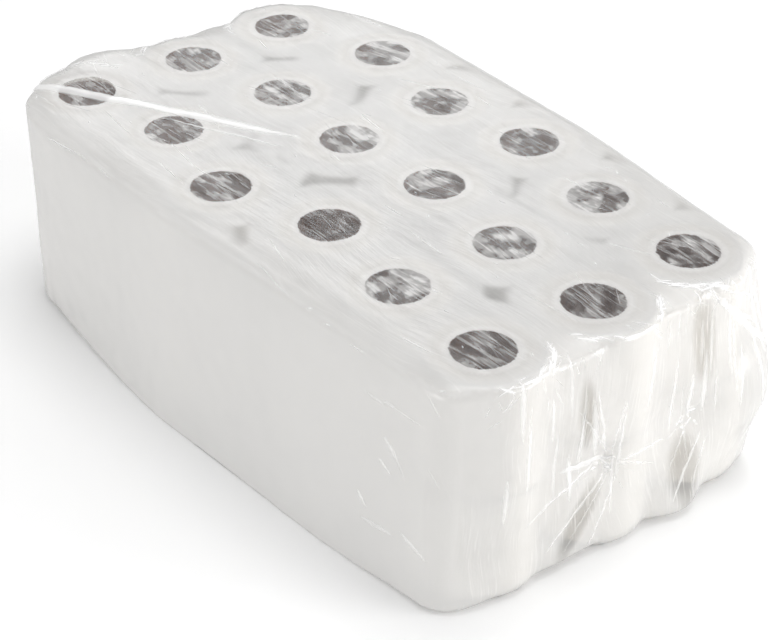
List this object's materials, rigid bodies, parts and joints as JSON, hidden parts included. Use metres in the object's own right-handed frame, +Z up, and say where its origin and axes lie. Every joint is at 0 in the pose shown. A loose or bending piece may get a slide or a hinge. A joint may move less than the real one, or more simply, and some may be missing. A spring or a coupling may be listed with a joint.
{
  "type": "toilet paper roll pack",
  "caption": "Clear film pack of toilet paper rolls standing on end in layers, in staggered rows under one tight wrap.",
  "frame": {"origin": "middle of the pack's underside, on the surface that it stands on", "axes": "+X along the pack's length, +Y across it, +Z up, along the axes of the rolls"},
  "size_m": [0.5744, 0.3497, 0.181],
  "materials": {
    "film": "gloss",
    "paper": "matte",
    "card": "matte"
  },
  "bodies": {
    "root": {"cores_1a": "card", "cores_1b": "card", "cores_1c": "card", "cores_2a": "card", "cores_2b": "card", "cores_2c": "card", "cores_3a": "card", "cores_3b": "card", "cores_3c": "card", "cores_4a": "card", "cores_4b": "card", "cores_4c": "card", "cores_5a": "card", "cores_5b": "card", "cores_5c": "card", "cores_6a": "card", "cores_6b": "card", "cores_6c": "card", "film_wrap": "film", "roll_lower_1a": "paper", "roll_lower_1b": "paper", "roll_lower_1c": "paper", "roll_lower_2a": "paper", "roll_lower_2b": "paper", "roll_lower_2c": "paper", "roll_lower_3a": "paper", "roll_lower_3b": "paper", "roll_lower_3c": "paper", "roll_lower_4a": "paper", "roll_lower_4b": "paper", "roll_lower_4c": "paper", "roll_lower_5a": "paper", "roll_lower_5b": "paper", "roll_lower_5c": "paper", "roll_lower_6a": "paper", "roll_lower_6b": "paper", "roll_lower_6c": "paper", "roll_upper_1a": "paper", "roll_upper_1b": "paper", "roll_upper_1c": "paper", "roll_upper_2a": "paper", "roll_upper_2b": "paper", "roll_upper_2c": "paper", "roll_upper_3a": "paper", "roll_upper_3b": "paper", "roll_upper_3c": "paper", "roll_upper_4a": "paper", "roll_upper_4b": "paper", "roll_upper_4c": "paper", "roll_upper_5a": "paper", "roll_upper_5b": "paper", "roll_upper_5c": "paper", "roll_upper_6a": "paper", "roll_upper_6b": "paper", "roll_upper_6c": "paper"}
  },
  "joints": []
}
